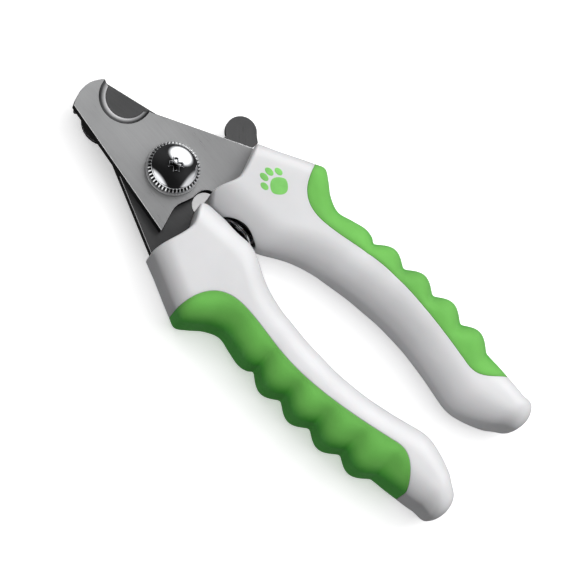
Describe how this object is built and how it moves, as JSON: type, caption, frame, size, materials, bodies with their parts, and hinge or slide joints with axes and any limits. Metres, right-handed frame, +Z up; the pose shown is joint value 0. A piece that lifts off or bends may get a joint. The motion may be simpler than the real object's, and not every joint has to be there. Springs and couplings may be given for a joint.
{
  "type": "pet nail clipper",
  "caption": "Plier-type pet nail clipper: two notched blades on a screwed pivot, a swinging nail guard, a coil return spring and overmoulded handles with soft scalloped grips.",
  "frame": {"origin": "centre of the shut tool's footprint, on the surface that it lies on", "axes": "+X from the jaws to the handle ends, +Y to the upper handle (the one joined to the front blade), +Z up through the tool from its back to the side with the nut"},
  "size_m": [0.1604, 0.0642, 0.021],
  "materials": {
    "brushed_steel": "light brushed stainless steel",
    "rear_steel": "darker satin stainless steel",
    "chrome": "polished nickel chrome",
    "spring_wire": "bright drawn spring wire",
    "white_plastic": "satin white moulded plastic",
    "green_grip": "matt green soft grip",
    "black_plastic": "black moulded plastic",
    "nylon": "natural nylon"
  },
  "bodies": {
    "front_half": {"front_blade": "brushed_steel", "upper_handle": "white_plastic", "upper_grip": "green_grip", "upper_spring_cup": "black_plastic", "pivot_bolt": "rear_steel", "pivot_sleeve": "brushed_steel", "front_washer": "brushed_steel", "guard_washer": "nylon", "disc_spring": "brushed_steel", "return_spring": "spring_wire"},
    "rear_half": {"rear_blade": "rear_steel", "lower_handle": "white_plastic", "lower_grip": "green_grip", "lower_spring_cup": "black_plastic"},
    "guard": {"nail_guard": "rear_steel"},
    "nut": {"tension_nut": "chrome", "nut_dome": "chrome", "nut_lock_ring": "nylon"}
  },
  "joints": [
    {"name": "blade_pivot", "type": "hinge", "parent": "front_half", "child": "rear_half", "pos_m": [-0.04509, 0, 0.0105], "axis": [0, 0, -1], "range_deg": [0, 22], "stiffness_Nm_per_rad": 1.7, "springref_deg": 25.78, "deforming": ["return_spring"]},
    {"name": "guard_swing", "type": "hinge", "parent": "front_half", "child": "guard", "pos_m": [-0.04509, 0, 0.0055], "axis": [0, 0, 1], "range_deg": [0, 45]},
    {"name": "nut_turn", "type": "hinge", "parent": "front_half", "child": "nut", "pos_m": [-0.04509, 0, 0.0155], "axis": [0, 0, 1], "range_deg": [-90, 90]}
  ]
}
